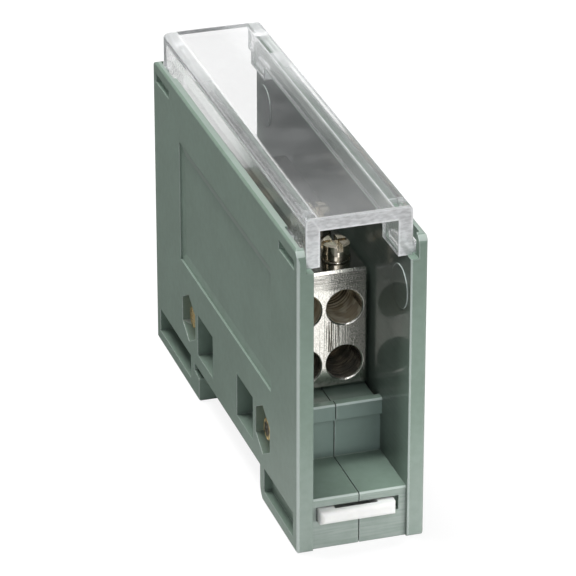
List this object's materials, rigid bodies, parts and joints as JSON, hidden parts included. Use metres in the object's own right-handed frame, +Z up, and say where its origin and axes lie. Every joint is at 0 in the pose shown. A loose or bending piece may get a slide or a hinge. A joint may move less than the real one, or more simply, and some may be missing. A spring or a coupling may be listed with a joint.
{
  "type": "power distribution block",
  "caption": "Narrow rail-mounted distribution block: split plastic case, clear lift-off cover, plated brass block with wire holes and clamp screws, and a sliding rail clip.",
  "frame": {"origin": "centre of the footprint on the plane that the feet stand on", "axes": "+Z up, -Y the end with the rail clip and the outlet holes, +Y the inlet end, X across the case"},
  "size_m": [0.02, 0.077, 0.0542],
  "materials": {
    "case_plastic": "grey-green moulded plastic, satin outside and glossier inside",
    "clear_plastic": "clear moulded plastic with frosted edges",
    "plated_brass": "nickel plated, milled marks",
    "plated_screw": "nickel plated, turned",
    "yellow_fastener": "yellow passivated",
    "white_nylon": "natural white nylon",
    "spring_wire": "drawn wire"
  },
  "bodies": {
    "case": {"left_shell": "case_plastic", "right_shell": "case_plastic", "terminal_block": "plated_brass", "case_screw_front": "yellow_fastener", "case_screw_rear": "yellow_fastener", "case_nut_front": "yellow_fastener", "case_nut_rear": "yellow_fastener", "clip_spring": "spring_wire"},
    "cover": {"clear_cover": "clear_plastic"},
    "clip": {"rail_clip": "white_nylon"},
    "upper_left_screw": {"upper_clamp_left": "plated_screw"},
    "upper_right_screw": {"upper_clamp_right": "plated_screw"},
    "lower_left_screw": {"lower_clamp_left": "plated_screw"},
    "lower_right_screw": {"lower_clamp_right": "plated_screw"},
    "inlet_front_screw": {"inlet_clamp_front": "plated_screw"},
    "inlet_rear_screw": {"inlet_clamp_rear": "plated_screw"}
  },
  "joints": [
    {"name": "cover_lift", "type": "slide", "parent": "case", "child": "cover", "axis": [0, 0, 1], "range_m": [0, 0.012]},
    {"name": "clip_pull", "type": "slide", "parent": "case", "child": "clip", "axis": [0, -1, 0], "range_m": [0, 0.0034], "stiffness_N_per_m": 800, "springref_m": -0.001, "deforming": ["clip_spring"]},
    {"name": "upper_left_clamp", "type": "slide", "parent": "case", "child": "upper_left_screw", "axis": [0, 0, -1], "range_m": [0, 0.0045]},
    {"name": "upper_right_clamp", "type": "slide", "parent": "case", "child": "upper_right_screw", "axis": [0, 0, -1], "range_m": [0, 0.0045]},
    {"name": "lower_left_clamp", "type": "slide", "parent": "case", "child": "lower_left_screw", "axis": [0, 0, -1], "range_m": [0, 0.0045]},
    {"name": "lower_right_clamp", "type": "slide", "parent": "case", "child": "lower_right_screw", "axis": [0, 0, -1], "range_m": [0, 0.0045]},
    {"name": "inlet_front_clamp", "type": "slide", "parent": "case", "child": "inlet_front_screw", "axis": [0, 0, -1], "range_m": [0, 0.005]},
    {"name": "inlet_rear_clamp", "type": "slide", "parent": "case", "child": "inlet_rear_screw", "axis": [0, 0, -1], "range_m": [0, 0.005]}
  ]
}
